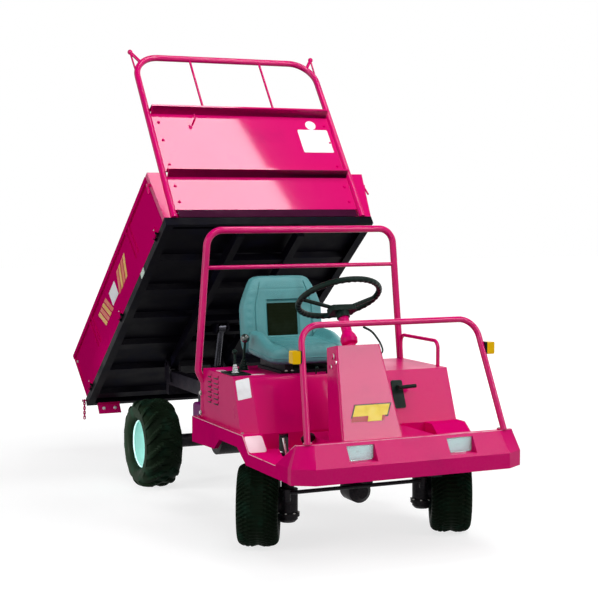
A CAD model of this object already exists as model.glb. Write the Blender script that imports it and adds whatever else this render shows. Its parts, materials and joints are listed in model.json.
"""Looks of a ride-on site dumper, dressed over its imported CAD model."""
import json
import math

import bmesh
import bpy
import numpy as np
from bpy.props import FloatProperty, FloatVectorProperty, IntProperty, PointerProperty
from bpy.types import Operator, Panel, PropertyGroup
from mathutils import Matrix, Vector


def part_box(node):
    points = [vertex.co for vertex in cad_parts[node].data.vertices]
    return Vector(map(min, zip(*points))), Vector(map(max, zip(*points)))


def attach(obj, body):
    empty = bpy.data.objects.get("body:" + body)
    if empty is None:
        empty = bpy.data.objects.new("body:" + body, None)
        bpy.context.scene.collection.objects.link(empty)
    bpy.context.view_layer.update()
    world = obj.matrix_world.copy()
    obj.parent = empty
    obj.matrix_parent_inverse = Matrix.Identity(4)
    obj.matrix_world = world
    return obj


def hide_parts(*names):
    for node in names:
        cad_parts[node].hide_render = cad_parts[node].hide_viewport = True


bl_info = {
    "name": "Site dumper dress", "version": (1, 0, 0), "blender": (4, 5, 0),
    "location": "3D View > Sidebar > Dumper",
    "description": "Tyres, seat, fittings and finishes of a small tipping carrier",
    "category": "Object",
}

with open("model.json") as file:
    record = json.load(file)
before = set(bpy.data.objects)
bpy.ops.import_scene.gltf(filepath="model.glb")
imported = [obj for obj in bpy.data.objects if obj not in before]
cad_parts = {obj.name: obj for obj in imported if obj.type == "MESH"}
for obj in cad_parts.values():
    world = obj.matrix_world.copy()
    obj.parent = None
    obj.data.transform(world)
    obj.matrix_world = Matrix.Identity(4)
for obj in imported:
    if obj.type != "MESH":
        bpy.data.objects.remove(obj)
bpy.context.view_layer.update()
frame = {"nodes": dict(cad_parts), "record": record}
NODES = frame["nodes"]
JOINTS = {joint["name"]: joint for joint in frame["record"]["behaviour"]["joints"]}
PI = math.pi
X, Y, Z = np.eye(3)

# places: metres, y from the front axle; on the bed u rearward and v up from the floor
AXLE_Y = JOINTS["steer_right"]["pos_m"][1]
TIP = math.radians(-JOINTS["bed_tip"]["range_deg"][0])
ALONG = np.array((0, math.cos(TIP), -math.sin(TIP)))
UP = np.array((0, math.sin(TIP), math.cos(TIP)))
HINGE_U, HINGE_V = 1.365, -0.05         # the tipping hinge on the bed
BED0 = np.array(JOINTS["bed_tip"]["pos_m"]) - HINGE_U * ALONG - HINGE_V * UP
TOWER_X, TOWER_TOP = -0.097, 0.916      # the steering tower's middle and the height of its top
POLE_R = 1e-4                           # least radius of a turned surface, at its poles


def at(x, y, z):
    """A place on the chassis: across, rearward of the front axle, above the ground."""
    return np.array((x, AXLE_Y + y, z))


def bed(x, u, v):
    """A place on the raised bed: across, rearward along its floor, up from its floor."""
    return BED0 + x * X + u * ALONG + v * UP


def unit(vector):
    """The vector over its length."""
    vector = np.asarray(vector, float)
    return vector / np.linalg.norm(vector)


# ---------------------------------------------------------------- meshes
def piece(name, chunks, material, body, closed=True, smooth=40):
    """One object from (points, faces) chunks, on a body, its faces turned outward."""
    points, faces, start = [], [], 0
    for co, polygons in chunks:
        points.append(np.asarray(co, float).reshape(-1, 3))
        faces += [[start + i for i in polygon] for polygon in polygons]
        start += len(points[-1])
    mesh = bpy.data.meshes.new(name)
    mesh.from_pydata(np.concatenate(points).tolist(), [], faces)
    if closed:
        form = bmesh.new()
        form.from_mesh(mesh)
        bmesh.ops.recalc_face_normals(form, faces=form.faces)
        form.to_mesh(mesh)
        form.free()
    mesh.materials.append(material)
    obj = bpy.data.objects.new(name, mesh)
    bpy.context.scene.collection.objects.link(obj)
    mesh.shade_smooth()
    mesh.set_sharp_from_angle(angle=math.radians(smooth))
    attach(obj, body)
    return obj


def lattice(points, wrap_a=False, wrap_b=False, caps=False):
    """Quads over a grid of points (a, b, 3), joined round where it wraps; caps close its ends."""
    a, b = points.shape[:2]
    index = np.arange(a * b).reshape(a, b)
    if wrap_a:
        index = np.concatenate([index, index[:1]])
    if wrap_b:
        index = np.concatenate([index, index[:, :1]], axis=1)
    corners = [index[:-1, :-1], index[1:, :-1], index[1:, 1:], index[:-1, 1:]]
    quads = np.stack(corners, -1).reshape(-1, 4).tolist()
    if caps:
        quads += [list(range(b))[::-1], list(range((a - 1) * b, a * b))]
    return points.reshape(-1, 3), quads


def basis(axis):
    """Two unit vectors square to an axis and to each other, the first level unless the axis is upright."""
    axis = unit(axis)
    hint = X if abs(axis @ Z) > 0.9 else Z
    side = unit(np.cross(hint, axis))
    return side, np.cross(axis, side)


def lathe(origin, axis, profile, steps=32):
    """Profile (radius r, distance d) turned about an axis: origin + axis d + r (side cos + over sin)."""
    side, over = basis(axis)
    turn = np.linspace(0, 2 * PI, steps, endpoint=False)
    ring = np.cos(turn)[:, None] * side + np.sin(turn)[:, None] * over
    r, d = np.array(profile, float).T
    centres = np.asarray(origin) + d[:, None, None] * unit(axis)
    grid = centres + np.maximum(r, POLE_R)[:, None, None] * ring
    return lattice(grid, wrap_b=True, caps=True)


def tube(path, radius, steps=12, closed=False):
    """Circle carried along a path, its frame turned as little as it can; the radius may vary."""
    path = np.asarray(path, float)
    before, after = np.roll(path, 1, 0), np.roll(path, -1, 0)
    if not closed:
        before[0], after[-1] = path[0], path[-1]
    run = after - before
    run /= np.linalg.norm(run, axis=1, keepdims=True)
    side = basis(run[0])[0]
    sides = []
    for t in run:
        side = unit(side - (side @ t) * t)
        sides.append(side)
    sides = np.array(sides)
    over = np.cross(run, sides)
    turn = np.linspace(0, 2 * PI, steps, endpoint=False)
    r = np.broadcast_to(radius, len(path))[:, None, None]
    ring = np.cos(turn)[:, None] * sides[:, None] + np.sin(turn)[:, None] * over[:, None]
    return lattice(path[:, None] + r * ring, wrap_a=closed, wrap_b=True, caps=not closed)


def bend(points, count):
    """A smooth run through a few points: a cubic of four neighbours on each stretch (Catmull-Rom)."""
    p = np.asarray(points, float)
    q = np.concatenate([2 * p[:1] - p[1:2], p, 2 * p[-1:] - p[-2:-1]])
    t = np.linspace(0, len(p) - 1 - 1e-9, count)
    k = t.astype(int)
    f = (t - k)[:, None]
    a, b, c, d = (q[k + i] for i in range(4))
    second, third = 2 * a - 5 * b + 4 * c - d, 3 * b - 3 * c + d - a
    return 0.5 * (2 * b + (c - a) * f + second * f ** 2 + third * f ** 3)


def slab(middle, across, up, size, depth, corner, edge=0.0015, steps=6):
    """Rounded plate: a rectangle with round corners carried out by depth, its front edge eased."""
    across, up = unit(across), unit(up)
    out = np.cross(across, up)
    w, h = np.array(size) / 2
    corner = min(corner, w * 0.999, h * 0.999)
    turn = np.linspace(0, PI / 2, steps)
    ring = np.concatenate([
        np.stack([sx * (w - corner) + corner * np.cos(turn + start),
                  sy * (h - corner) + corner * np.sin(turn + start)], 1)
        for start, sx, sy in ((0, 1, 1), (PI / 2, -1, 1), (PI, -1, -1), (3 * PI / 2, 1, -1))
    ])
    rows = []
    for inset, rise in ((0, 0), (0, depth - edge), (edge * 0.3, depth - edge * 0.3), (edge, depth)):
        scale = 1 - inset / np.array((w, h))
        rows.append(np.asarray(middle) + (ring * scale) @ np.stack([across, up]) + rise * out)
    return lattice(np.array(rows), wrap_b=True, caps=True)


def bolt(origin, axis, size, washer=True):
    """Hexagon head with an eased top on its washer; size is half its width across corners."""
    head = np.array([(0, 0), (0.99, 0), (1, 0.12), (1, 0.62), (0.86, 0.75), (0, 0.75)])
    parts = [lathe(origin, axis, size * head, 6)]
    if washer:
        rim, under, top = size * 1.35, -0.0003, size * 0.16
        parts.append(lathe(origin, axis, [(0, under), (rim, under), (rim, top), (0, top)], 16))
    return parts


def band(middle, run, lean, width, height, shear, thick=0.0008):
    """Slanted plain strip: a thin parallelogram whose sides lean along its run."""
    out = np.cross(run, lean)
    corners = []
    for s, t in ((-1, -1), (1, -1), (1, 1), (-1, 1)):
        along = s * width / 2 + t * shear * height / 2
        corners.append(np.asarray(middle) + along * run + t * height / 2 * lean)
    rows = [np.array(corners) + rise * out for rise in (0.0, thick)]
    return lattice(np.array(rows), wrap_b=True, caps=True)


def closed_sheet(front, back):
    """Two equal grids and the wall between their edges, as chunks to be merged."""
    def edge(grid):
        """The grid's outer points, once round."""
        return np.concatenate([grid[0, :], grid[1:, -1], grid[-1, -2::-1], grid[-2:0:-1, 0]])

    wall = np.stack([edge(front), edge(back)])
    return [lattice(front), lattice(back), lattice(wall, wrap_b=True)]


def sewn(name, sheets, material, body):
    """Joins sheets at their shared rim into one closed form."""
    pad = piece(name, sheets, material, body, closed=False)
    form = bmesh.new()
    form.from_mesh(pad.data)
    bmesh.ops.remove_doubles(form, verts=form.verts, dist=1e-5)
    bmesh.ops.recalc_face_normals(form, faces=form.faces)
    form.to_mesh(pad.data)
    form.free()
    pad.data.shade_smooth()
    return pad


def step(value, low, high):
    """Smooth step from 0 at low to 1 at high."""
    t = np.clip((value - low) / (high - low), 0, 1)
    return t * t * (3 - 2 * t)


# ---------------------------------------------------------------- shader groups
COLOR, FLOAT = "NodeSocketColor", "NodeSocketFloat"


def node(tree, kind, settings=(), **values):
    """A node with its settings, and its sockets' values by name, _ for a space."""
    found = tree.nodes.new(kind)
    for key, value in dict(settings).items():
        setattr(found, key, value)
    for key, value in values.items():
        found.inputs[key.replace("_", " ")].default_value = value
    return found


def feed(tree, socket, value):
    """Links a socket to another one, or gives it a plain value."""
    if isinstance(value, bpy.types.NodeSocket):
        tree.links.new(value, socket)
    else:
        socket.default_value = value


def sockets(tree, side, entries):
    """Gives a group its sockets, each (name, kind, value); None keeps the kind's own value."""
    for name, kind, value in entries:
        made = tree.interface.new_socket(name, in_out=side, socket_type=kind)
        if value is not None:
            made.default_value = value


def mix(tree, factor, a, b):
    """Colour (1 - factor) a + factor b; each is a socket or a plain value."""
    found = node(tree, "ShaderNodeMix", {"data_type": "RGBA"})
    for socket, value in zip((found.inputs[0], found.inputs[6], found.inputs[7]), (factor, a, b)):
        feed(tree, socket, value)
    return found.outputs[2]


def maths(tree, operation, a, b):
    """Two sockets or numbers under one operation."""
    found = node(tree, "ShaderNodeMath", {"operation": operation})
    for socket, value in zip(found.inputs, (a, b)):
        feed(tree, socket, value)
    return found.outputs[0]


def ranged(tree, value, low, high, to_low=0.0, to_high=1.0):
    """Smooth step of a value from low to high, onto the range to_low to to_high."""
    found = node(tree, "ShaderNodeMapRange", {"interpolation_type": "SMOOTHSTEP"})
    for name, bound in (("From Min", low), ("From Max", high), ("To Min", to_low), ("To Max", to_high)):
        feed(tree, found.inputs[name], bound)
    tree.links.new(value, found.inputs["Value"])
    return found.outputs[0]


def noise(tree, vector, scale, detail):
    """Uneven value about 0.5 at a scale in cells for each metre."""
    found = node(tree, "ShaderNodeTexNoise", Detail=detail, Roughness=0.55)
    feed(tree, found.inputs["Scale"], scale)
    tree.links.new(vector, found.inputs["Vector"])
    return found.outputs[0]


def object_place(tree):
    """The surface point on Object coordinates."""
    return node(tree, "ShaderNodeTexCoord").outputs["Object"]


def weather_group():
    """Uneven colour, stains, pin chips and low dust on any finish."""
    tree = bpy.data.node_groups.new("site_weather", "ShaderNodeTree")
    sockets(tree, "INPUT", [
        ("Colour", COLOR, (0.5, 0.5, 0.5, 1)), ("Stain", COLOR, (0.1, 0.1, 0.1, 1)),
        ("Dust", COLOR, (0.42, 0.37, 0.32, 1)), ("Stain Amount", FLOAT, 0.2), ("Dust Amount", FLOAT, 0.2),
        ("Chips", FLOAT, 0.2), ("Scale", FLOAT, 6.0), ("Smooth", FLOAT, 0.2), ("Rough", FLOAT, 0.4),
    ])
    sockets(tree, "OUTPUT", [("Colour", COLOR, None), ("Roughness", FLOAT, None), ("Height", FLOAT, None)])
    given, out = tree.nodes.new("NodeGroupInput"), tree.nodes.new("NodeGroupOutput")
    place = object_place(tree)
    broad = noise(tree, place, given.outputs["Scale"], 6)
    fine = noise(tree, place, 95.0, 4)
    dots = noise(tree, place, 420.0, 2)
    stain = maths(tree, "MULTIPLY", ranged(tree, broad, 0.48, 0.72), given.outputs["Stain Amount"])
    colour = mix(tree, stain, given.outputs["Colour"], given.outputs["Stain"])
    chip = maths(tree, "MULTIPLY", ranged(tree, dots, 0.70, 0.74), ranged(tree, fine, 0.55, 0.66))
    colour = mix(tree, maths(tree, "MULTIPLY", chip, given.outputs["Chips"]), colour, given.outputs["Stain"])
    # dust thickens from 0.75 m above the ground down to 0.05 m
    height = node(tree, "ShaderNodeSeparateXYZ")
    tree.links.new(place, height.inputs[0])
    low = ranged(tree, height.outputs["Z"], 0.75, 0.05)
    patches = maths(tree, "MULTIPLY", low, ranged(tree, fine, 0.3, 0.75))
    dust = maths(tree, "MULTIPLY", patches, given.outputs["Dust Amount"])
    colour = mix(tree, dust, colour, given.outputs["Dust"])
    rough = ranged(tree, broad, 0.3, 0.7, given.outputs["Smooth"], given.outputs["Rough"])
    rough = maths(tree, "ADD", rough, maths(tree, "MULTIPLY", dust, 0.4))
    tree.links.new(colour, out.inputs["Colour"])
    tree.links.new(rough, out.inputs["Roughness"])
    pits = maths(tree, "MULTIPLY", chip, 0.6)
    tree.links.new(maths(tree, "SUBTRACT", fine, pits), out.inputs["Height"])
    return tree


def grain_group():
    """Pebbled grain: (pressed cell borders + a softer swell) x depth."""
    tree = bpy.data.node_groups.new("pebble_grain", "ShaderNodeTree")
    sockets(tree, "INPUT", [("Scale", FLOAT, 500.0), ("Depth", FLOAT, 1.0)])
    sockets(tree, "OUTPUT", [("Height", FLOAT, None)])
    given, out = tree.nodes.new("NodeGroupInput"), tree.nodes.new("NodeGroupOutput")
    place = object_place(tree)
    cells = node(tree, "ShaderNodeTexVoronoi", {"feature": "SMOOTH_F1"}, Smoothness=0.4)
    tree.links.new(place, cells.inputs["Vector"])
    tree.links.new(given.outputs["Scale"], cells.inputs["Scale"])
    pressed = ranged(tree, cells.outputs["Distance"], 0.2, 0.75, 1.0, 0.0)
    height = maths(tree, "ADD", pressed, noise(tree, place, 60.0, 3))
    tree.links.new(maths(tree, "MULTIPLY", height, given.outputs["Depth"]), out.inputs["Height"])
    return tree


def placed_group(tree, name, build):
    """A group's node on a tree; the group is built when it is first placed."""
    return node(tree, "ShaderNodeGroup", {"node_tree": bpy.data.node_groups.get(name) or build()})


# ---------------------------------------------------------------- finishes
# colour, or the setting that holds it; stain colour; amounts of stain, dust and chips, and the stains'
# scale; least and most roughness; then what departs from PLAIN
ENAMEL = ("enamel", (0.30, 0.0, 0.09), (0.25, 0.03, 0.25, 3.0), (0.26, 0.38))
LOOKS = {
    "enamel": (*ENAMEL, {"coat": 0.42, "bump": 0.03, "specular": 0.02}),
    "enamel_gloss": (*ENAMEL, {"coat": 0.65, "bump": 0.03, "specular": 0.02}),
    "enamel_half": (*ENAMEL, {"coat": 0.10, "bump": 0.03, "specular": 0.02}),
    "enamel_dull": (*ENAMEL, {"bump": 0.03, "specular": 0.0}),
    "enamel_shaded": ((0.14, 0.0, 0.11), (0.04, 0.0, 0.05), (0.4, 0.0, 0.3, 6.0), (0.35, 0.5),
                      {"specular": 0.1}),
    "chassis_black": ((0.005, 0.004, 0.008), (0.018, 0.010, 0.014), (0.4, 0.05, 0.3, 9.0), (0.35, 0.55),
                      {"bump": 0.15, "specular": 0.12}),
    "bed_underside": ((0.0020, 0.0015, 0.0040), (0.005, 0.006, 0.016), (0.5, 0.01, 0.3, 7.0), (0.40, 0.6),
                      {"bump": 0.1, "specular": 0.04}),
    "moulded_plastic": ((0.004, 0.014, 0.010), (0.008, 0.028, 0.020), (0.3, 0.0, 0.1, 12.0), (0.30, 0.45),
                        {"bump": 0.12, "grain": 900.0, "specular": 0.10}),
    "worn_rubber": ("rubber", (0.012, 0.045, 0.028), (0.5, 0.0, 0.4, 14.0), (0.45, 0.65),
                    {"bump": 0.2, "specular": 0.03}),
    "green_vinyl": ("vinyl", (0.03, 0.07, 0.06), (0.25, 0.0, 0.2, 8.0), (0.28, 0.42),
                    {"bump": 0.3, "grain": 620.0, "specular": 0.45}),
    "seat_panel": ((0.006, 0.010, 0.003), (0.02, 0.03, 0.02), (0.3, 0.0, 0.1, 10), (0.4, 0.55),
                   {"bump": 0.4, "grain": 420.0, "specular": 0.03}),
    "bright_steel": ((0.60, 0.60, 0.60), (0.25, 0.22, 0.2), (0.4, 0.0, 0.3, 30.0), (0.22, 0.38),
                     {"metallic": 1.0, "bump": 0.08}),
    "dark_rod": ((0.05, 0.05, 0.06), (0.02, 0.02, 0.02), (0.4, 0.0, 0.3, 30.0), (0.25, 0.4),
                 {"metallic": 1.0, "bump": 0.08}),
    "zinc_fastener": ((0.45, 0.44, 0.42), (0.2, 0.17, 0.13), (0.5, 0.1, 0.4, 60.0), (0.3, 0.5),
                      {"metallic": 0.9, "bump": 0.1}),
    "pale_rim_paint": ("rim", (0.30, 0.55, 0.50), (0.25, 0.0, 0.6, 12.0), (0.28, 0.42),
                       {"coat": 0.9, "bump": 0.06, "specular": 0.3}),
    "amber_cover": ((0.86, 0.50, 0.0), (0.80, 0.36, 0.0), (0.3, 0.0, 0.1, 40.0), (0.15, 0.3),
                    {"bump": 0.2, "specular": 0.1}),
    "reflector": ((0.88, 0.97, 0.97), (0.6, 0.7, 0.7), (0.2, 0, 0, 8), (0.10, 0.18), {"metallic": 0.85}),
    "lamp_back": ((0.75, 0.78, 0.80), (0.4, 0.4, 0.4), (0.2, 0.1, 0.2, 20), (0.3, 0.45), {}),
    "reflector_pale": ((0.60, 0.78, 0.66), (0.3, 0.4, 0.35), (0.3, 0.1, 0.2, 30), (0.2, 0.35),
                       {"bump": 0.2, "grain": 1500.0}),
    "plate_white": ((0.92, 0.93, 0.95), (0.5, 0.5, 0.5), (0.25, 0.05, 0.15, 14), (0.3, 0.45),
                    {"bump": 0.03}),
    "band_yellow": ((0.80, 0.42, 0.01), (0.4, 0.2, 0.02), (0.3, 0.05, 0.3, 16), (0.3, 0.45),
                    {"bump": 0.03}),
    "band_orange": ((0.74, 0.10, 0.01), (0.4, 0.05, 0.02), (0.3, 0.05, 0.3, 16), (0.3, 0.45),
                    {"bump": 0.03}),
    "strip_yellow": ((0.86, 0.66, 0.01), (0.5, 0.3, 0.02), (0.2, 0.0, 0.3, 30), (0.3, 0.45), {"bump": 0.03}),
    "strip_red": ((0.42, 0.002, 0.008), (0.1, 0.0, 0.0), (0.3, 0.0, 0.3, 30), (0.3, 0.45), {"bump": 0.03}),
    "strip_edge": ((0.030, 0.004, 0.004), (0.05, 0.01, 0.0), (0.3, 0.0, 0.3, 30), (0.3, 0.45),
                   {"bump": 0.03}),
    "dark_primer": ((0.045, 0.001, 0.022), (0.02, 0.0, 0.01), (0.4, 0.0, 0.2, 12), (0.4, 0.6),
                    {"specular": 0.05}),
    "rubbed_edge": ((0.84, 0.42, 0.52), (0.62, 0.02, 0.16), (0.9, 0.0, 0.2, 18.0), (0.25, 0.4),
                    {"bump": 0.1}),
    "polished_ramp": ((0.88, 0.62, 0.68), (0.80, 0.30, 0.42), (0.5, 0.0, 0.3, 9.0), (0.3, 0.45),
                      {"bump": 0.1}),
    "lever_plate": ((0.80, 0.62, 0.66), (0.35, 0.02, 0.12), (0.8, 0.0, 0.5, 26.0), (0.25, 0.4),
                    {"bump": 0.1}),
    "bright_boot": ((0.55, 0.60, 0.60), (0.3, 0.3, 0.3), (0.3, 0.0, 0.1, 20), (0.35, 0.5), {"bump": 0.2}),
    "gloss_knob": ((0.006, 0.022, 0.016), (0.01, 0.03, 0.02), (0.2, 0.0, 0.0, 20), (0.08, 0.15),
                   {"coat": 1.0, "bump": 0.01}),
}
PLAIN = {"metallic": 0.0, "coat": 0.0, "bump": 0.05, "grain": None, "specular": 0.5}
COAT_ROUGH = 0.06
BUMP_DEPTH = 0.002

# tint, roughness and transmission of the lenses
LENSES = {
    "lamp_glass": ((0.86, 1.0, 1.0), 0.10, 0.75),
    "tail_red": ((0.55, 0.01, 0.01), 0.15, 0.4),
}


def new_shader(name):
    """A new material's name, tree and shader."""
    found = bpy.data.materials.new(name)
    found.use_nodes = True
    return found, found.node_tree, found.node_tree.nodes["Principled BSDF"]


def finish(name):
    """Opaque finish from LOOKS: weathered colour and roughness, and a bump from weather or grain."""
    if name in bpy.data.materials:
        return bpy.data.materials[name]
    colour, stain, (amount, dust, chips, scale), (smooth, rough), departures = LOOKS[name]
    if isinstance(colour, str):
        colour = getattr(bpy.context.scene.dumper_finish, colour)
    look = {**PLAIN, **departures}
    found, tree, shader = new_shader(name)
    weather = placed_group(tree, "site_weather", weather_group)
    for key, value in (
        ("Colour", (*colour, 1)), ("Stain", (*stain, 1)), ("Stain Amount", amount), ("Dust Amount", dust),
        ("Chips", chips), ("Scale", scale), ("Smooth", smooth), ("Rough", rough),
    ):
        weather.inputs[key].default_value = value
    tree.links.new(weather.outputs["Colour"], shader.inputs["Base Color"])
    tree.links.new(weather.outputs["Roughness"], shader.inputs["Roughness"])
    lift = node(tree, "ShaderNodeBump", Strength=look["bump"], Distance=BUMP_DEPTH)
    height = weather.outputs["Height"]
    if look["grain"]:
        pebbles = placed_group(tree, "pebble_grain", grain_group)
        pebbles.inputs["Scale"].default_value = look["grain"]
        height = pebbles.outputs["Height"]
    tree.links.new(height, lift.inputs["Height"])
    tree.links.new(lift.outputs["Normal"], shader.inputs["Normal"])
    shader.inputs["Metallic"].default_value = look["metallic"]
    shader.inputs["Coat Weight"].default_value = look["coat"]
    shader.inputs["Coat Roughness"].default_value = COAT_ROUGH
    shader.inputs["Specular IOR Level"].default_value = look["specular"]
    return found


def lens_glass(name):
    """Tinted lens from LENSES, with upright moulded flutes about 5 mm apart."""
    if name in bpy.data.materials:
        return bpy.data.materials[name]
    tint, rough, weight = LENSES[name]
    found, tree, shader = new_shader(name)
    shader.inputs["Base Color"].default_value = (*tint, 1)
    shader.inputs["Transmission Weight"].default_value = weight
    shader.inputs["Roughness"].default_value = rough
    wave = node(tree, "ShaderNodeTexWave", {"bands_direction": "X", "wave_profile": "SIN"},
                Scale=60.0, Distortion=0.0)
    tree.links.new(object_place(tree), wave.inputs["Vector"])
    lift = node(tree, "ShaderNodeBump", Strength=0.25, Distance=BUMP_DEPTH)
    tree.links.new(wave.outputs["Fac"], lift.inputs["Height"])
    tree.links.new(lift.outputs["Normal"], shader.inputs["Normal"])
    return found


# ---------------------------------------------------------------- settings
def paint_setting(name, description, default):
    """A colour that the user may change."""
    return FloatVectorProperty(name=name, description=description, subtype="COLOR", size=3, min=0, max=1,
                               default=default)


class DumperFinish(PropertyGroup):
    """Colours that the user may change"""
    enamel: paint_setting("Enamel", "Body paint", (0.66, 0.0004, 0.145))
    rim: paint_setting("Rim", "Wheel rim paint", (0.52, 0.84, 0.79))
    rubber: paint_setting("Rubber", "Tyre rubber", (0.0065, 0.0130, 0.0065))
    vinyl: paint_setting("Vinyl", "Seat covering", (0.075, 0.290, 0.305))


class DumperSizes(PropertyGroup):
    """Tread sizes that the user may change"""
    tread: FloatProperty(name="Tread depth", description="Front tyre grooves", unit="LENGTH",
                         default=0.008, min=0)
    lug: FloatProperty(name="Lug height", description="Rear tyre bars", unit="LENGTH",
                       default=0.014, min=0)
    front_bars: IntProperty(name="Front bars", description="Herringbone ribs round a front tyre",
                            default=56, min=8)
    rear_bars: IntProperty(name="Rear bars", description="Bars round each half of a rear tyre",
                           default=16, min=6)


# ---------------------------------------------------------------- stage
# place, point aimed at, width and height in metres, power in watts, spread in degrees
LAMPS = {
    "key": ((3.15, -5.6, 4.25), (0, 0, 0.9), (1.9, 2.9), 165, 180),
    "high": ((-0.5, -4.2, 6.0), (0, 0, 0.9), (2.5, 2.5), 105, 180),
    "fill": ((-5.2, -1.6, 2.6), (0, 0, 0.8), (3.4, 3.4), 110, 180),
    "back": ((3.5, 4.5, 3.2), (0, 0.3, 0.9), (3.0, 3.0), 45, 180),
    "low": ((-3.2, 0.9, 0.5), (-0.55, 0.60, 0.24), (0.5, 0.5), 2.6, 22),
}
FLOOR_HALF, FLOOR_Z = 25, -0.0005


def area_lamp(name, place, turn, size, power, spread=180):
    """A rectangular area lamp, in metres, watts and degrees."""
    lamp = bpy.data.objects.new(name, bpy.data.lights.new(name, "AREA"))
    lamp.data.shape = "RECTANGLE"
    lamp.data.size, lamp.data.size_y = size
    lamp.data.energy = power
    lamp.data.spread = math.radians(spread)
    lamp.location, lamp.rotation_euler = place, turn
    bpy.context.scene.collection.objects.link(lamp)


def seen_rays(tree):
    """1 on camera, transmission and glossy rays, which show the backdrop, else 0."""
    rays = tree.nodes.new("ShaderNodeLightPath")
    seen = maths(tree, "MAXIMUM", rays.outputs["Is Camera Ray"], rays.outputs["Is Transmission Ray"])
    return maths(tree, "MAXIMUM", seen, rays.outputs["Is Glossy Ray"])


def floor_white():
    """Pale matt floor, lifted on seen rays by its distance so that it meets the white backdrop."""
    found, tree, shader = new_shader("floor_white")
    shader.inputs["Base Color"].default_value = (0.34, 0.34, 0.34, 1)
    shader.inputs["Roughness"].default_value = 0.9
    shader.inputs["Specular IOR Level"].default_value = 0.1
    shader.inputs["Emission Color"].default_value = (1, 1, 1, 1)
    away = node(tree, "ShaderNodeVectorMath", {"operation": "LENGTH"})
    tree.links.new(object_place(tree), away.inputs[0])
    lift = ranged(tree, away.outputs["Value"], 1.4, 4.5, 0.74, 1.0)
    tree.links.new(maths(tree, "MULTIPLY", seen_rays(tree), lift), shader.inputs["Emission Strength"])
    return found


def studio_world():
    """Dim pale world; seen rays meet a white wall that ends in a dark ceiling overhead."""
    world = bpy.data.worlds.new("studio")
    world.use_nodes = True
    tree = world.node_tree
    dim = tree.nodes["Background"]
    dim.inputs["Color"].default_value = (0.92, 0.95, 1, 1)
    dim.inputs["Strength"].default_value = 0.18
    white = node(tree, "ShaderNodeBackground", Color=(1, 1, 1, 1))
    rise = node(tree, "ShaderNodeSeparateXYZ")
    tree.links.new(node(tree, "ShaderNodeTexCoord").outputs["Generated"], rise.inputs[0])
    tree.links.new(ranged(tree, rise.outputs["Z"], 0.40, 0.75, 1.0, 0.10), white.inputs["Strength"])
    blend = tree.nodes.new("ShaderNodeMixShader")
    tree.links.new(seen_rays(tree), blend.inputs[0])
    tree.links.new(dim.outputs[0], blend.inputs[1])
    tree.links.new(white.outputs[0], blend.inputs[2])
    tree.links.new(blend.outputs[0], tree.nodes["World Output"].inputs[0])
    return world


class DUMPER_OT_stage(Operator):
    """Camera, pale floor, soft lamps and world"""
    bl_idname = "dumper.stage"
    bl_label = "Stage"

    def execute(self, context):
        scene = context.scene
        scene.view_settings.view_transform = "Standard"
        camera = bpy.data.objects.new("camera", bpy.data.cameras.new("camera"))
        scene.collection.objects.link(camera)
        camera.location = (-2.890, AXLE_Y - 5.683, 1.55)
        camera.rotation_euler = (math.radians(85.98), 0, math.radians(-24.592))
        camera.data.lens = 84.62
        camera.data.sensor_width = 36
        scene.camera = camera
        for name, (place, aim, size, power, spread) in LAMPS.items():
            away = Vector(place) - Vector(aim)
            area_lamp(name, place, away.to_track_quat("Z", "Y").to_euler(), size, power, spread)
        # overhead softbox, its long edge mirrored across the headboard
        area_lamp("softbox", (1.381, -1.125, 5.4), (0, 0, math.radians(-52.8)), (2.3, 0.9), 88)
        mesh = bpy.data.meshes.new("floor")
        corners = [(sx * FLOOR_HALF, sy * FLOOR_HALF, FLOOR_Z) for sx in (-1, 1) for sy in (-1, 1)]
        mesh.from_pydata(corners, [], [(0, 2, 3, 1)])
        floor = bpy.data.objects.new("floor", mesh)
        scene.collection.objects.link(floor)
        mesh.materials.append(floor_white())
        scene.world = studio_world()
        return {"FINISHED"}


# ---------------------------------------------------------------- CAD finishes
CAD_FINISHES = {
    "enamel": ["front_deck", "steering_tower", "front_hoop", "roll_hoop", "arm_rail", "guard_frame"],
    "enamel_half": ["console", "bumper", "steering_column"],
    "enamel_dull": ["skirt_right", "skirt_left", "side_gate_right", "side_gate_left", "tailgate",
                    "tail_lamps", "gate_chain"],
    "enamel_gloss": ["headboard"],
    "enamel_shaded": ["tank"],
    "chassis_black": ["chassis_frame", "cross_members", "bed_brackets", "lift_bracket", "front_axle",
                      "rear_axle", "engine_block", "seat_base", "knuckle_right", "knuckle_left", "tie_rod",
                      "lift_barrel", "tow_hitch", "pedals"],
    "bed_underside": ["bed_floor", "bed_subframe"],
    "moulded_plastic": ["side_levers", "steering_wheel"],
    "pale_rim_paint": ["rim_front_right", "rim_front_left", "rim_rear_right", "rim_rear_left"],
    "dark_rod": ["lift_rod"],
    "amber_cover": ["turn_lamps"],
    "worn_rubber": ["tyre_front_right", "tyre_front_left", "tyre_rear_right", "tyre_rear_left"],
    "green_vinyl": ["seat_cushion", "seat_back"],
    "lamp_glass": ["headlamps"],
}


class DUMPER_OT_finishes(Operator):
    """Finishes of the CAD nodes"""
    bl_idname = "dumper.finishes"
    bl_label = "Finishes"

    def execute(self, context):
        for look, names in CAD_FINISHES.items():
            for name in names:
                mesh = NODES[name].data
                mesh.materials.clear()
                mesh.materials.append(lens_glass(look) if look in LENSES else finish(look))
        return {"FINISHED"}


# ---------------------------------------------------------------- tyres
# tread radius, half width and rim radius of each end's wheels, and their rim faces' depth
WHEELS = {"front": (0.188, 0.093, 0.108, 0.055), "rear": (0.239, 0.100, 0.138, 0.033)}
SECTION_POWER = 3.2         # of the tyre section's rounded rectangle
BEAD_DEPTH = 0.012          # the tyre's foot inside its rim's edge


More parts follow.
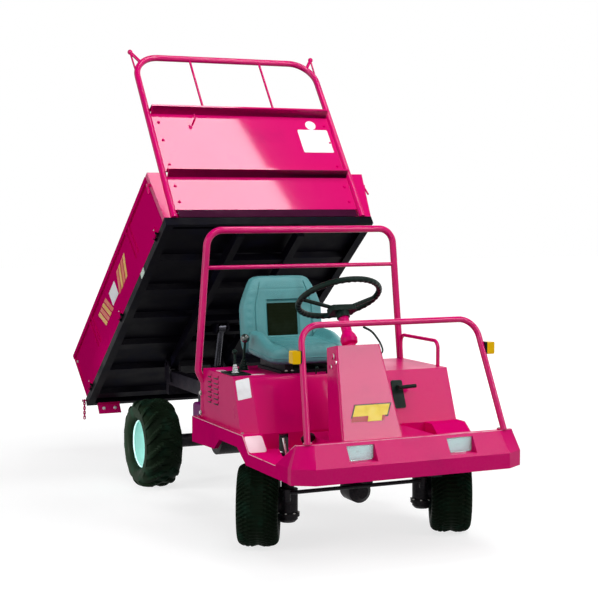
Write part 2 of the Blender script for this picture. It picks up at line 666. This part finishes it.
def tyre_grid(joint, r, half, rim_r, tread, turns, rows):
    """Closed tyre surface about a wheel's axle.

    Section: rounded rectangle |x/half|^3.2 + |h/high|^3.2 = 1 about the wall's middle,
    and over the crown a tread function of (turn, x) lowers the radius.
    """
    origin, axis = np.array(joint["pos_m"]), unit(joint["axis"])
    side, over = basis(axis)
    # the section's points gather at its sides, where its height changes fastest
    a = np.linspace(0, 2 * PI, rows, endpoint=False)
    a = a - 0.22 * np.sin(2 * a)
    high, middle = (r - rim_r + BEAD_DEPTH) / 2, (r + rim_r - BEAD_DEPTH) / 2
    power = 2 / SECTION_POWER
    x = half * np.sign(np.cos(a)) * np.abs(np.cos(a)) ** power
    h = middle + high * np.sign(np.sin(a)) * np.abs(np.sin(a)) ** power
    turn = np.linspace(0, 2 * PI, turns, endpoint=False)
    # the tread fades in from a quarter of the way up the shoulder
    outer = step(h, middle + 0.25 * high, middle + 0.62 * high)
    cut = tread(turn[:, None], x[None, :]) * outer
    radius = h[None, :] - cut
    ring = np.cos(turn)[:, None, None] * side + np.sin(turn)[:, None, None] * over
    grid = origin + x[None, :, None] * axis + radius[:, :, None] * ring
    return lattice(grid, wrap_a=True, wrap_b=True)


class DUMPER_OT_front_tyres(Operator):
    """Front tyres with herringbone ribs and zigzag grooves"""
    bl_idname = "dumper.front_tyres"
    bl_label = "Front tyres"

    def execute(self, context):
        sizes = context.scene.dumper_sizes
        r, half, rim_r = WHEELS["front"][:3]
        fold_slant, outer_x, zigzag_reach = 1.7, 0.056, 0.010

        def tread(turn, x):
            """Depth below the crown: the deeper of slanted gaps, a middle groove and two outer ones."""
            phase = turn * sizes.front_bars / (2 * PI)
            fold = np.abs((x / half + 0.5) % 1 - 0.5) * 2
            gap = step(np.abs((phase + fold * fold_slant) % 1 - 0.5), 0.16, 0.30)
            zigzag = zigzag_reach * np.abs((phase * 0.5 % 1) * 2 - 1) - zigzag_reach / 2
            groove = 1 - step(np.abs(x - zigzag), 0.003, 0.006)
            outer = 1 - step(np.abs(np.abs(x) - outer_x - zigzag), 0.002, 0.005)
            return sizes.tread * np.maximum(np.maximum(gap, groove), outer * 0.9)

        for name in ("right", "left"):
            joint = JOINTS[f"spin_front_{name}"]
            chunk = tyre_grid(joint, r, half, rim_r, tread, turns=720, rows=60)
            body = f"wheel_front_{name}"
            tyre = piece(f"front_tyre_{name}", [chunk], finish("worn_rubber"), body, smooth=35)
            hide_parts(f"tyre_front_{name}")
        return {"FINISHED"}


class DUMPER_OT_rear_tyres(Operator):
    """Rear tyres with tall slanted bars in two rows"""
    bl_idname = "dumper.rear_tyres"
    bl_label = "Rear tyres"

    def execute(self, context):
        sizes = context.scene.dumper_sizes
        r, half, rim_r = WHEELS["rear"][:3]
        slant, crown_r, bar_middle = 0.9, 0.232, 0.047

        def tread(turn, x):
            """Depth below the bars' tops: bars lie where the way square to their slant is short."""
            pitch = turn * sizes.rear_bars / (2 * PI) + np.where(x > 0, 0.5, 0)
            place = np.abs(x) - bar_middle
            around = (pitch - slant * place * sizes.rear_bars / (2 * PI * crown_r) + 0.5) % 1 - 0.5
            across = np.abs(around) * 2 * PI * crown_r / sizes.rear_bars / math.sqrt(1 + slant ** 2)
            bar = 1 - step(across, 0.0095, 0.0135)
            bar *= step(np.abs(x), 0.002, 0.007)
            return sizes.lug * (1 - bar)

        for name in ("right", "left"):
            joint = JOINTS[f"spin_rear_{name}"]
            chunk = tyre_grid(joint, r, half, rim_r, tread, turns=840, rows=66)
            body = f"wheel_rear_{name}"
            tyre = piece(f"rear_tyre_{name}", [chunk], finish("worn_rubber"), body, smooth=35)
            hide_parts(f"tyre_rear_{name}")
        return {"FINISHED"}


# ---------------------------------------------------------------- seat
def pillow(place, size, rise, sink, dent, count):
    """Crowned closed pad from two sheets sewn at the rim.

    Over u, v in -1..1 the half thickness is ((1-|u|^n)(1-|v|^n))^(1/m); the plan is pulled
    in at its corners; dent(u, v) raises or lowers the upper sheet. place(x, y, h) puts it in the room.
    """
    n, m, corner = 7, 3.2, 0.30
    s, t = (np.sin(np.linspace(-1, 1, c) * PI / 2) for c in count)
    u, v = np.meshgrid(s, t, indexing="ij")
    thick = (np.maximum(1 - np.abs(u) ** n, 0) * np.maximum(1 - np.abs(v) ** n, 0)) ** (1 / m)
    x = size[0] / 2 * u * np.sqrt(1 - corner * v ** 8 * 0.5)
    y = size[1] / 2 * v * np.sqrt(1 - corner * u ** 8 * 0.5)
    upper = place(x, y, rise * thick + dent(u, v) * np.minimum(thick * 1.6, 1))
    lower = place(x, y, -sink * thick)
    rim = np.concatenate([upper[0, :-1], upper[:-1, -1], upper[-1, :0:-1], upper[:0:-1, 0]])
    return lattice(upper), lattice(lower), rim


def crease(value, place, width, depth):
    """A sewn channel across a value: a narrow Gaussian groove."""
    return -depth * np.exp(-((value - place) / width) ** 2)


def cushion_dent(u, v):
    """Raised bolsters at the sides, four cross channels, side seams, wrinkles and a sat-in middle."""
    bolster = 0.042 * step(np.abs(u), 0.66, 0.84) * step(v, -0.75, 0.35)
    channels = sum(crease(v, k, 0.018, 0.0045) for k in (-0.52, -0.12, 0.28, 0.66))
    channels = channels * (1 - step(np.abs(u), 0.56, 0.62))
    wrinkle = 0.0012 * np.sin(34 * u + 3 * np.sin(5 * v)) * np.exp(-((np.abs(v) - 0.86) / 0.10) ** 2)
    sides = crease(np.abs(u), 0.63, 0.014, 0.008)
    return bolster + channels + sides + wrinkle - 0.006 * (1 - u ** 2) * (1 - v ** 2)


def back_dent(u, v):
    """A sunk panel, raised wings beside it, side and top seams, and wrinkles."""
    panel = step(np.abs(u), 0.38, 0.43) + step(np.abs(v + 0.09), 0.45, 0.49)
    sunk = -0.013 * (1 - np.clip(panel, 0, 1))
    wings = 0.010 * step(np.abs(u), 0.45, 0.75) * (1 - step(np.abs(v), 0.55, 0.95))
    seams = crease(np.abs(u), 0.70, 0.014, 0.006) * (1 - step(np.abs(v), 0.80, 0.90))
    seams = seams + crease(v, 0.66, 0.016, 0.0015)
    wrinkle = 0.0010 * np.sin(30 * v + 4 * u) * np.exp(-((np.abs(u) - 0.84) / 0.07) ** 2)
    return sunk + wings + seams + wrinkle


class DUMPER_OT_seat(Operator):
    """Padded seat cushion and back with seams, piping and a ribbed panel"""
    bl_idname = "dumper.seat"
    bl_label = "Seat"

    def execute(self, context):
        low, high = (np.array(corner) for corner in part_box("seat_cushion"))
        middle = (low + high) / 2
        seam = low[2] + 0.040
        half_y = (high[1] - low[1]) / 2
        rear_rise = 0.012

        def cushion_place(x, y, h):
            """Rising evenly rearward, by rear_rise from its middle to its rear edge."""
            return np.stack([middle[0] + x, middle[1] + y, seam + h + rear_rise * y / half_y], -1)

        top, under, rim = pillow(cushion_place, (high - low)[:2], rise=0.050, sink=0.037,
                                 dent=cushion_dent, count=(110, 96))
        cushion = sewn("cushion", [top, under], finish("green_vinyl"), "chassis")
        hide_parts("seat_cushion")

        low, high = (np.array(corner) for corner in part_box("seat_back"))
        lean = math.atan2(0.048, high[2] - low[2])
        rising = np.array((0, math.sin(lean), math.cos(lean)))
        facing = np.array((0, -math.cos(lean), math.sin(lean)))
        seam_depth = 0.040
        foot = np.array(((low[0] + high[0]) / 2, low[1] + seam_depth, low[2]))
        tall = (high[2] - low[2]) / math.cos(lean) - 0.002
        top_taper = 0.22

        def back_place(x, y, h):
            """Leaning back, and narrowed towards its top by the share top_taper."""
            taper = 1 - top_taper * step(y, 0.02, tall / 2)
            return (foot + (x * taper)[..., None] * X + (y + tall / 2)[..., None] * rising
                    + h[..., None] * facing)

        width = high[0] - low[0]
        front, rear, rim_back = pillow(back_place, (width, tall), rise=0.034, sink=0.030,
                                       dent=back_dent, count=(120, 120))
        back = sewn("backrest", [front, rear], finish("green_vinyl"), "chassis")
        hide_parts("seat_back")

        piping = [tube(edge, radius=0.0032, steps=8, closed=True) for edge in (rim, rim_back)]
        piece("seat_piping", piping, finish("green_vinyl"), "chassis")

        # ribbed panel in the back: ribs |sin| up its height, fading at its edges
        half_wide, half_tall, thick, panel_z = 0.079, 0.086, 0.010, 0.965
        s, t = np.meshgrid(np.linspace(-1, 1, 60), np.linspace(-1, 1, 80), indexing="ij")
        rib = 0.0006 * np.abs(np.sin(t * 5.5 * PI)) * (1 - np.abs(s) ** 12) * (1 - np.abs(t) ** 12)
        centre = foot + (panel_z - foot[2]) / math.cos(lean) * rising + 0.0235 * facing
        flat = centre + s[..., None] * half_wide * X + t[..., None] * half_tall * rising
        sheets = closed_sheet(flat + rib[..., None] * facing, flat - thick * facing)
        panel = sewn("seat_panel", sheets, finish("seat_panel"), "chassis")
        return {"FINISHED"}


# ---------------------------------------------------------------- lamps
class DUMPER_OT_lamps(Operator):
    """Headlamps with fluted lens, reflector and bulb; tail lamp lenses; backs of the turn lamps"""
    bl_idname = "dumper.lamps"
    bl_label = "Lamps"

    def execute(self, context):
        # headlamps: a domed lens 2.5 mm thick at its edge, and behind it a hollowed reflector with its bulb
        low, high = (np.array(corner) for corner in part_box("headlamps"))
        width, height = 0.1296, high[2] - low[2] - 0.0004
        bowl_front, bowl_rear = 0.0078, 0.0158
        s, t = np.meshgrid(*(np.sin(np.linspace(-1, 1, count) * PI / 2) for count in (48, 32)), indexing="ij")
        x = width / 2 * s * np.sqrt(1 - 0.12 * t ** 8)
        z = height / 2 * t * np.sqrt(1 - 0.12 * s ** 8)
        dome = 0.0045 * (1 - np.abs(s) ** 8) * (1 - np.abs(t) ** 8)
        bowl = 0.0070 * np.sqrt(np.clip(1 - (np.abs(s) ** 2.4 + np.abs(t) ** 2.4) * 0.7, 0, 1))
        bulb = [(0, 0), (0.006, 0.0008), (0.008, 0.004), (0.008, 0.008)]
        depths = (0.005 - dome, 0.0075 - 0.7 * dome, bowl_front + bowl, np.full_like(bowl, bowl_rear))
        lenses, bowls = [], []
        for side in (-1, 1):
            middle = np.array((side * (high[0] - 0.065), low[1], (low[2] + high[2]) / 2))
            sheets = [middle + np.stack([x, depth, z], -1) for depth in depths]
            lenses += closed_sheet(*sheets[:2])
            bowls += closed_sheet(*sheets[2:])
            bowls.append(lathe(middle + bowl_front * Y, Y, bulb, 20))
        glasses = sewn("lamp_lens", lenses, lens_glass("lamp_glass"), "chassis")
        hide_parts("headlamps")
        sewn("lamp_reflector", bowls, finish("reflector"), "chassis")

        # tail lamps: a pair of domes on rings at each side, with a knob behind each
        dome = [(0.0205, -0.0005), (0.0205, 0.003), (0.018, 0.007), (0.011, 0.010), (0, 0.011)]
        knob = [(0.010, -0.0005), (0.010, 0.004), (0.007, 0.007), (0, 0.008)]
        ring = [(0.0225, -0.0004), (0.0225, 0.0025), (0.0205, 0.003), (0.0195, 0.0005), (0, 0.0002)]
        rear_u, front_u, lamp_v = 1.8302, 1.8088, -0.0748
        domes, backs = [], []
        for side in (-0.45, 0.45):
            for dx in (-0.034, 0.034):
                domes.append(lathe(bed(side + dx, rear_u, lamp_v), ALONG, dome, 28))
                backs.append(lathe(bed(side + dx, rear_u, lamp_v), ALONG, ring, 28))
                backs.append(lathe(bed(side + dx, front_u, lamp_v), -ALONG, knob, 20))
        piece("tail_lenses", domes, lens_glass("tail_red"), "bed")
        piece("tail_lamp_backs", backs, finish("lamp_back"), "bed")

        low, high = (np.array(corner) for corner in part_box("turn_lamps"))
        backs = []
        for side in (-1, 1):
            middle = (side * (high[0] - 0.0375), (low[1] + high[1]) / 2, (low[2] + high[2]) / 2)
            backs.append(slab(middle, -side * Y, Z, (0.040, 0.056), depth=0.006, corner=0.005))
        piece("turn_lamp_backs", backs, finish("moulded_plastic"), "chassis")
        return {"FINISHED"}


# ---------------------------------------------------------------- wheels
class DUMPER_OT_wheel_fittings(Operator):
    """Wheel nuts, hub caps and valves"""
    bl_idname = "dumper.wheel_fittings"
    bl_label = "Wheel fittings"

    def execute(self, context):
        stud = [(0.005, 0), (0.005, 0.013), (0.0035, 0.015), (0, 0.015)]
        cap = [(0.030, 0), (0.029, 0.003), (0.016, 0.0045), (0, 0.005)]
        nuts, stud_circle = 5, 0.053
        for name in ("front_right", "front_left", "rear_right", "rear_left"):
            half, rim_r, face = WHEELS[name.split("_")[0]][1:]
            joint = JOINTS[f"spin_{name}"]
            out = unit(joint["axis"])
            out = out * (np.sign(out[0]) * (-1 if "right" in name else 1))
            side, over = basis(out)
            origin = np.array(joint["pos_m"])
            parts = []
            for k in range(nuts):
                a = 2 * PI * k / nuts + 0.3
                spoke = math.cos(a) * side + math.sin(a) * over
                spot = origin - out * (face + 0.0003) + stud_circle * spoke
                parts += bolt(spot, out, 0.0095)
                parts.append(lathe(spot, out, stud, 12))
            parts.append(lathe(origin - out * (face - 0.0125), out, cap, 32))
            piece(f"wheel_nuts_{name}", parts, finish("zinc_fastener"), f"wheel_{name}")
            root = origin + out * (half * 0.7 - 0.020) + side * (rim_r - 0.014)
            stem = bend([root, root + out * 0.012 - side * 0.004, root + out * 0.030 - side * 0.006], 10)
            valve = tube(stem, np.linspace(0.0042, 0.0032, 10), 10)
            piece(f"valve_{name}", [valve], finish("moulded_plastic"), f"wheel_{name}")
        return {"FINISHED"}


# ---------------------------------------------------------------- fittings
GATE_FOOT_X, GATE_LEAN = 0.580, 0.1111     # a drop side's outer face at its foot, and its slope outward


def gate_face(side, u, v, back=0.0):
    """A point on a drop side's outer face, moved inward by so much."""
    return bed(side * (GATE_FOOT_X + GATE_LEAN * v - back), u, v)


class DUMPER_OT_fasteners(Operator):
    """Bolts and screws of the body and of the bed"""
    bl_idname = "dumper.fasteners"
    bl_label = "Fasteners"

    def execute(self, context):
        body, tray = [], []
        for side in (-1, 1):
            for z in (0.535, 0.63):
                body += bolt(at(side * 0.537, 0.590, z), side * X, 0.009)
            for dx in (-0.012, 0.012):
                body += bolt(at(side * 0.470 + dx, -0.480, 0.5502), Z, 0.0055)
            for y in (0.080, 0.600, 0.640):
                body += bolt(at(side * 0.530, y, 0.5102), Z, 0.006)
            for x in (0.10, 0.13):
                body += bolt(at(-0.132 + side * x, 0.200, 0.7642), Z, 0.006)
        for x in (-0.235, 0.04):
            for y in (-0.40, -0.385):
                body += bolt(at(x, y, 0.5002), Z, 0.006)
        cover_bolts, cover_r, cover_z = 8, 0.050, 0.1542
        for name in ("right", "left"):
            x, y = JOINTS[f"steer_{name}"]["pos_m"][:2]
            parts = []
            for k in range(cover_bolts):
                a = 2 * PI * k / cover_bolts + 0.2
                spot = (x + cover_r * math.cos(a), y + cover_r * math.sin(a), cover_z)
                parts += bolt(spot, Z, 0.0055, False)
            piece(f"gear_case_bolts_{name}", parts, finish("zinc_fastener"), f"knuckle_{name}")
        for x in np.linspace(-0.46, 0.46, 9):
            tray += bolt(bed(x, 0.0145, 0.026), -ALONG, 0.0065)
        for x in (-0.48, 0.48):
            for v in (0.10, 0.20, 0.34, 0.50, 0.62):
                tray += bolt(bed(x, -0.0002, v), -ALONG, 0.0065)
        piece("body_bolts", body, finish("zinc_fastener"), "chassis")
        piece("bed_bolts", tray, finish("enamel_dull"), "bed")
        for side, name in ((-1, "right"), (1, "left")):
            parts = []
            outward = unit(side * X - GATE_LEAN * UP)
            for u in (0.150, 0.905, 1.660):
                for v in (0.020, 0.033):
                    parts += bolt(gate_face(side, u, v, -0.0042), outward, 0.0045)
            for u in (0.060, 1.770):
                parts += bolt(gate_face(side, u, 0.235, 0.009), outward, 0.008)
            piece(f"gate_bolts_{name}", parts, finish("zinc_fastener"), f"side_gate_{name}")
        return {"FINISHED"}


class DUMPER_OT_plates(Operator):
    """Bare plates, primer strips, plain bands and reflectors"""
    bl_idname = "dumper.plates"
    bl_label = "Plates"

    def execute(self, context):
        disc = [(0.030, 0), (0.030, 0.0018), (0.0285, 0.0024), (0, 0.0024)]
        plates = [
            slab(bed(0.3985, -0.0002, 0.512), X, UP, (0.179, 0.158), depth=0.0022, corner=0.008),
            lathe(bed(0.397, -0.0002, 0.622), -ALONG, disc, 48),
        ]
        piece("headboard_plates", plates, finish("plate_white"), "bed")

        # dark primer along the headboard's foot and under its two folds
        strips = [slab(bed(0, -0.0004, 0.0265), X, UP, (1.000, 0.044), depth=0.0008, corner=0.002)]
        fold = unit(-0.045 * ALONG + 0.019 * UP)
        for foot in (0.258, 0.676):
            spot = bed(0, -0.0225, foot + 0.0095)
            strips.append(slab(spot, X, fold, (1.012, 0.047), depth=-0.0008, corner=0.002))
        piece("headboard_primer", strips, finish("dark_primer"), "bed")

        # bare plate lying on the console's cut corner, in line with its lean
        run, tall, foot_z, plate_z = 0.092, 0.240, 0.510, 0.700
        rise = unit((0, run, tall))
        cut = unit((-0.062, 0.0664, 0))
        cut = unit(cut - (cut @ rise) * rise)
        root = at(-0.530 + 0.031, 0.036 + run * (plate_z - foot_z) / tall + 0.0332, plate_z)
        facing = np.cross(-cut, rise)
        facing = facing if facing[1] < 0 else -facing
        across = np.cross(rise, facing)
        label = slab(root + facing * 0.0002, across, rise, (0.068, 0.092), depth=0.0012, corner=0.004)
        piece("corner_plate", [label], finish("plate_white"), "chassis")

        # a white plate on each drop side, and four bands leaning towards it at each end
        rows = ((0.660, 0.55, ("yellow", "orange")), (1.040, -0.55, ("orange", "yellow")))
        pitch, middle_v, set_in = 0.048, 0.165, 0.0088
        for side, name in ((-1, "right"), (1, "left")):
            lean = unit(side * GATE_LEAN * X + UP)
            run = side * ALONG
            bands = {"yellow": [], "orange": []}
            for k in range(4):
                for start, shear, kinds in rows:
                    middle = gate_face(side, start + k * pitch, middle_v, set_in)
                    strip = band(middle, run, lean, width=0.036, height=0.110, shear=shear)
                    bands[kinds[k % 2]].append(strip)
            for kind, strips in bands.items():
                piece(f"gate_{kind}_{name}", strips, finish(f"band_{kind}"), f"side_gate_{name}")
            middle = gate_face(side, 0.925, middle_v, set_in)
            plate = slab(middle, run, lean, (0.125, 0.085), depth=0.0008, corner=0.003)
            piece(f"gate_white_{name}", [plate], finish("plate_white"), f"side_gate_{name}")
            middle = bed(side * (GATE_FOOT_X + 0.0002), 0.455, -0.022)
            reflector = slab(middle, run, UP, (0.060, 0.034), depth=0.003, corner=0.004)
            piece(f"rail_reflector_{name}", [reflector], finish("reflector_pale"), "bed")
        return {"FINISHED"}


class DUMPER_OT_worn_edges(Operator):
    """Bare rubbed edges of the skirts and bumper, the polished ramp and the lever plates"""
    bl_idname = "dumper.worn_edges"
    bl_label = "Worn edges"

    def execute(self, context):
        # each skirt's edge: deck, ramp, foot floor and cheek, and a short stretch on the bumper
        edge_x, end_x, bumper_z = 0.5545, 0.5208, 0.5436
        ramps = {-1: ((0.020, 0.510), (-0.050, 0.440)), 1: ((-0.035, 0.510), (-0.130, 0.440))}
        runs = []
        for side, (top, foot) in ramps.items():
            x, end = side * edge_x, side * end_x
            line = [(x, 0.655, 0.510), (x, *top), (x, *foot), (x, -0.340, 0.440), (end, -0.470, 0.544)]
            for a, b in zip(line, line[1:]):
                runs.append(tube(np.linspace(at(*a), at(*b), 8), radius=0.0016, steps=8))
            short = np.linspace(at(end, -0.470, 0.5435), at(end, -0.4835, 0.5435), 4)
            runs.append(tube(short, radius=0.0014, steps=8))
        front = [(-end_x, -0.4833), (-0.4470, -0.4998), (0.4470, -0.4998), (end_x, -0.4833)]
        for a, b in zip(front, front[1:]):
            stretch = np.linspace(at(*a, bumper_z), at(*b, bumper_z), 12)
            runs.append(tube(stretch, radius=0.0014, steps=8))
        piece("rubbed_edges", runs, finish("rubbed_edge"), "chassis")
        slope = unit((0, 0.070, 0.070))
        ramp = slab(at(-0.5075, -0.015, 0.475), X, slope, (0.086, 0.090), depth=0.0012, corner=0.012)
        piece("ramp_plate", [ramp], finish("polished_ramp"), "chassis")
        plates = [
            slab(at(-0.430, 0.240, 0.7503), X, Y, (0.150, 0.030), depth=0.0012, corner=0.004),
            slab(at(-0.490, 0.400, 0.7503), X, Y, (0.040, 0.120), depth=0.0012, corner=0.004),
        ]
        piece("lever_plate", plates, finish("lever_plate"), "chassis")
        return {"FINISHED"}


class DUMPER_OT_sticker(Operator):
    """Plain slanted strips on the steering tower: yellow, red and a dark edge"""
    bl_idname = "dumper.sticker"
    bl_label = "Sticker"

    def execute(self, context):
        # the tower's front leans back from its foot to its top
        foot, head = at(TOWER_X, -0.360, 0.500), at(TOWER_X, -0.204, TOWER_TOP)
        rise = unit(head - foot)
        out = unit(np.cross(X, rise))

        def strip(x, t, lift, width, height, shear):
            """A band on the front: across by x, up by a share t of it, and off it by lift."""
            middle = foot + (head - foot) * t + x * X + out * lift
            return band(middle, X, rise, width, height, shear)

        edge = strip(0.012, 0.335, 0.0003, 0.182, 0.060, 0.45)
        piece("tower_strip_edge", [edge], finish("strip_edge"), "chassis")
        red = strip(-0.006, 0.268, 0.0005, 0.160, 0.034, 0.45)
        piece("tower_strip_red", [red], finish("strip_red"), "chassis")
        yellow = [
            strip(0.012, 0.337, 0.0012, 0.168, 0.048, 0.45),
            strip(0.024, 0.260, 0.0014, 0.068, 0.028, 0.30),
        ]
        piece("tower_strip_yellow", yellow, finish("strip_yellow"), "chassis")
        return {"FINISHED"}


# ---------------------------------------------------------------- controls
def gaiter(origin, axis, foot_r, head_r, height, folds):
    """Rubber boot: a cone whose radius swings in and out with each fold."""
    t = np.linspace(0, 1, folds * 8)
    swing = 0.10 * foot_r * np.sin(t * folds * 2 * PI) * (1 - 0.5 * t)
    r = foot_r + (head_r - foot_r) * t ** 0.8 + swing
    profile = [(0, -0.0003)] + list(zip(r, t * height)) + [(0, height)]
    return lathe(origin, axis, profile, 32)


class DUMPER_OT_controls(Operator):
    """Boots, knob, wheel grip and cap, column stalk, brake arm, louvre gaps and switch collars"""
    bl_idname = "dumper.controls"
    bl_label = "Controls"

    def execute(self, context):
        plastic = finish("moulded_plastic")
        foot, axis = at(-0.479, 0.290, 0.7565), unit((0, 0.08, 1))
        boot = gaiter(foot, axis, foot_r=0.016, head_r=0.008, height=0.040, folds=4)
        piece("lever_boot", [boot], finish("bright_boot"), "chassis")
        foot, axis = at(-0.382, 0.430, 0.7505), unit((0, -0.19, 1))
        boot = gaiter(foot, axis, foot_r=0.026, head_r=0.009, height=0.055, folds=5)
        piece("tall_lever_boot", [boot], plastic, "chassis")
        ball_r = 0.0215
        a = np.linspace(-PI / 2, PI / 2, 24)
        ball = list(zip(ball_r * np.cos(a), ball_r * np.sin(a)))
        piece("ball_knob", [lathe(at(-0.384, 0.400, 0.903), Z, ball, 36)], finish("gloss_knob"), "chassis")

        # grip round the steering wheel, its underside moulded for the fingers
        joint = JOINTS["steering_wheel_turn"]
        middle, axis = np.array(joint["pos_m"]), unit(joint["axis"])
        side, over = basis(axis)
        wheel_r, grip_r, swell, fingers = 0.187, 0.0136, 0.0012, 40
        turn = np.linspace(0, 2 * PI, 360, endpoint=False)[:, None]
        around = np.linspace(0, 2 * PI, 20, endpoint=False)[None, :]
        thick = grip_r + swell * np.cos(turn * fingers) * np.clip(-np.sin(around), 0, 1)
        ring = np.cos(turn)[..., None] * side + np.sin(turn)[..., None] * over
        grid = middle + (wheel_r + thick * np.cos(around))[..., None] * ring
        grid = grid + (thick * np.sin(around))[..., None] * axis
        piece("wheel_grip", [lattice(grid, True, True)], plastic, "steering_wheel")
        hub = middle - axis * 0.049
        button = [(0.020, 0.003), (0.020, 0.006), (0.017, 0.0075), (0, 0.008)]
        cap = [
            slab(hub, side, over, (0.118, 0.058), depth=0.004, corner=0.012, edge=0.002),
            lathe(hub, axis, button, 32),
        ]
        piece("wheel_cap", cap, plastic, "steering_wheel")

        # stalk beside the column, down the tower's edge and in through its side
        route = [
            (-0.022, -0.108, 0.985), (0.004, -0.140, 0.965), (0.017, -0.180, 0.930),
            (0.0195, -0.205, 0.905), (0.021, -0.212, 0.885), (0.014, -0.205, 0.868),
        ]
        run = bend([at(*point) for point in route], 60)
        piece("column_stalk", [tube(run, np.linspace(0.0055, 0.0030, 60), 12)], plastic, "chassis")

        # bright brake arm above the foot floor
        arm = np.linspace(at(-0.405, -0.120, 0.440), at(-0.416, -0.110, 0.512), 6)
        piece("brake_arm", [tube(arm, radius=0.0055, steps=14)], finish("bright_steel"), "chassis")

        # dark gaps under the louvres, two columns of six
        gaps = []
        for width, y in ((0.060, 0.406), (0.042, 0.488)):
            for row in range(6):
                spot = at(-0.5300, y, 0.5995 + 0.024 * row)
                gaps.append(slab(spot, -Y, Z, (width, 0.0080), depth=0.0008, corner=0.002))
        piece("louvre_gaps", gaps, finish("chassis_black"), "chassis")

        # switch collars on the tower's right side, which flares towards its foot
        half_top, flare = 0.1085, 0.1
        collars = []
        for y, z, r in ((-0.190, 0.868, 0.013), (-0.178, 0.822, 0.010), (-0.220, 0.845, 0.009)):
            x = TOWER_X - half_top - (TOWER_TOP - z) * flare
            profile = [(r, 0), (r, 0.003), (r * 0.8, 0.005), (0, 0.005)]
            collars.append(lathe(at(x - 0.0002, y, z), -X, profile, 24))
        piece("switch_collars", collars, finish("bright_steel"), "chassis")
        return {"FINISHED"}


class DUMPER_PT_panel(Panel):
    """Lists the settings and the steps that dress the dumper"""
    bl_idname = "DUMPER_PT_panel"
    bl_label = "Site dumper"
    bl_space_type = "VIEW_3D"
    bl_region_type = "UI"
    bl_category = "Dumper"

    def draw(self, context):
        for settings in (context.scene.dumper_finish, context.scene.dumper_sizes):
            for key in settings.bl_rna.properties.keys():
                if key not in ("rna_type", "name"):
                    self.layout.prop(settings, key)
        for operator in OPERATORS:
            self.layout.operator(operator.bl_idname)


OPERATORS = (
    DUMPER_OT_stage, DUMPER_OT_finishes, DUMPER_OT_front_tyres, DUMPER_OT_rear_tyres, DUMPER_OT_seat,
    DUMPER_OT_lamps, DUMPER_OT_wheel_fittings, DUMPER_OT_fasteners, DUMPER_OT_plates,
    DUMPER_OT_worn_edges, DUMPER_OT_sticker, DUMPER_OT_controls,
)
CLASSES = (DumperFinish, DumperSizes, *OPERATORS, DUMPER_PT_panel)


def register():
    """Adds the classes and their settings to Blender."""
    for cls in CLASSES:
        bpy.utils.register_class(cls)
    bpy.types.Scene.dumper_finish = PointerProperty(type=DumperFinish)
    bpy.types.Scene.dumper_sizes = PointerProperty(type=DumperSizes)


def unregister():
    """Takes the settings and the classes away again."""
    del bpy.types.Scene.dumper_finish, bpy.types.Scene.dumper_sizes
    for cls in reversed(CLASSES):
        bpy.utils.unregister_class(cls)


def main():
    """Runs every step in order."""
    register()
    for operator in OPERATORS:
        group, name = operator.bl_idname.split(".")
        getattr(getattr(bpy.ops, group), name)()


if __name__ == "__main__":
    main()
